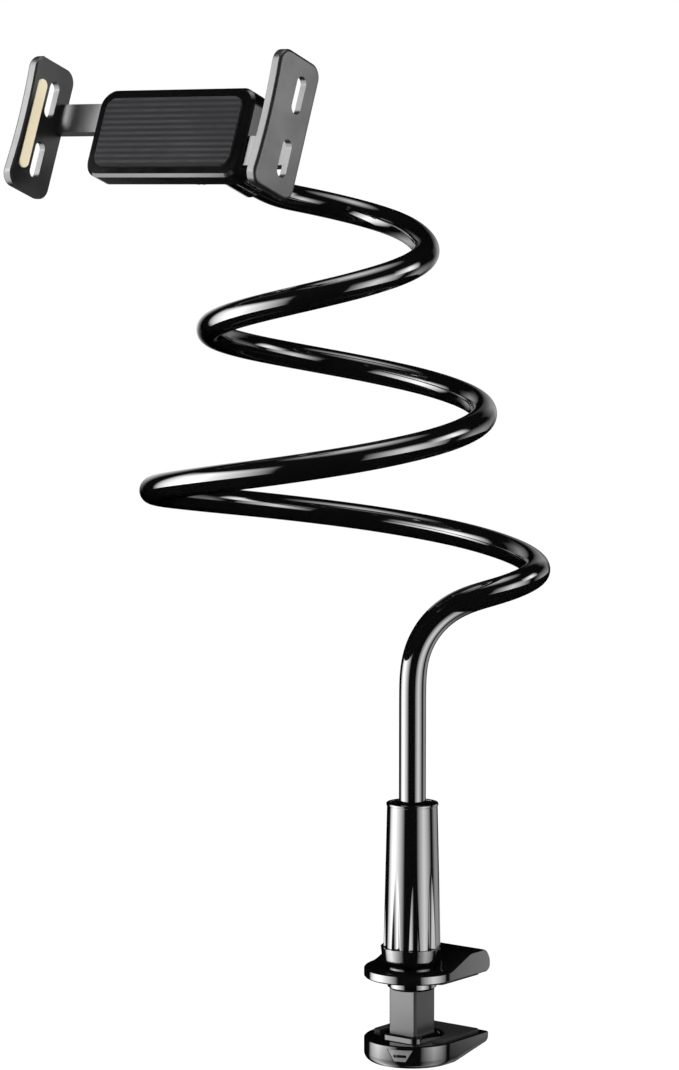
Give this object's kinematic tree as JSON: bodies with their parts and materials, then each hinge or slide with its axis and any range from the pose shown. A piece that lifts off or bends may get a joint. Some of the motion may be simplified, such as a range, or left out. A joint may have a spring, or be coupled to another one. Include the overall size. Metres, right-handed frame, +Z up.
{
  "type": "gooseneck tablet holder",
  "caption": "Black table-clamp holder: a hand sleeve tightens the clamp, a coiled bendable arm rises from it, and a ball joint carries a cradle whose sprung side jaws grip a tablet or phone.",
  "frame": {"origin": "on the clamp post's axis, in the plane of the table top under the upper jaw's pad", "axes": "+Z up along the post, +Y from the post over the table, +X to the right seen from the room"},
  "size_m": [0.2281, 0.2049, 0.5002],
  "materials": {
    "gloss_black": "gloss",
    "hose_black": "gloss",
    "post_black": "satin",
    "jaw_grey": "satin",
    "insert_grey": "satin",
    "pad_rubber": "matt",
    "strip_cream": "matt",
    "bright_steel": "polished",
    "screw_steel": "satin",
    "washer_white": "satin"
  },
  "bodies": {
    "clamp_head": {"upper_jaw": "gloss_black", "upper_jaw_pad": "pad_rubber", "thrust_washer": "washer_white"},
    "hand_sleeve": {"tightening_sleeve": "gloss_black"},
    "arm": {"clamp_post": "post_black", "lower_jaw": "gloss_black", "lower_jaw_pad": "pad_rubber", "nose_insert": "insert_grey", "post_screw": "screw_steel", "neck_set_screw": "screw_steel", "gooseneck_arm": "hose_black", "neck_end_cap": "bright_steel"},
    "ball": {"ball_stud": "bright_steel"},
    "ring": {"lock_ring": "gloss_black"},
    "holder": {"rear_cover": "gloss_black", "front_cover": "gloss_black", "front_pad": "pad_rubber", "cover_screws": "screw_steel", "left_spring": "screw_steel", "right_spring": "screw_steel"},
    "left_slider": {"left_jaw": "jaw_grey", "left_jaw_strip": "strip_cream"},
    "right_slider": {"right_jaw": "jaw_grey", "right_jaw_strip": "strip_cream"}
  },
  "joints": [
    {"name": "sleeve_turn", "type": "hinge", "parent": "clamp_head", "child": "hand_sleeve", "pos_m": [0, 0, 0.05], "axis": [0, 0, 1], "range_deg": [-1350, 2700]},
    {"name": "jaw_slide", "type": "slide", "parent": "clamp_head", "child": "arm", "axis": [0, 0, 1], "range_m": [-0.03, 0.015]},
    {"name": "ball_spin", "type": "hinge", "parent": "arm", "child": "ball", "pos_m": [-0.101, -0.0395, 0.4105], "axis": [0, 0.9373, -0.3486], "continuous": true},
    {"name": "ball_tilt", "type": "hinge", "parent": "ball", "child": "ring", "pos_m": [-0.101, -0.0395, 0.4105], "axis": [1, 0, 0], "range_deg": [-25, 25]},
    {"name": "holder_roll", "type": "hinge", "parent": "ring", "child": "holder", "pos_m": [-0.101, -0.0395, 0.4105], "axis": [0, 0.9373, -0.3486], "continuous": true},
    {"name": "left_jaw_slide", "type": "slide", "parent": "holder", "child": "left_slider", "axis": [-1, 0, 0], "range_m": [-0.025, 0.025], "stiffness_N_per_m": 200, "springref_m": -0.03, "deforming": ["left_spring"]},
    {"name": "right_jaw_slide", "type": "slide", "parent": "holder", "child": "right_slider", "axis": [1, 0, 0], "range_m": [-0.025, 0.025], "stiffness_N_per_m": 200, "springref_m": -0.03, "deforming": ["right_spring"]}
  ],
  "couplings": [
    {"joint": "sleeve_turn", "follows": "jaw_slide", "rad_per_m": -1570.8}
  ]
}
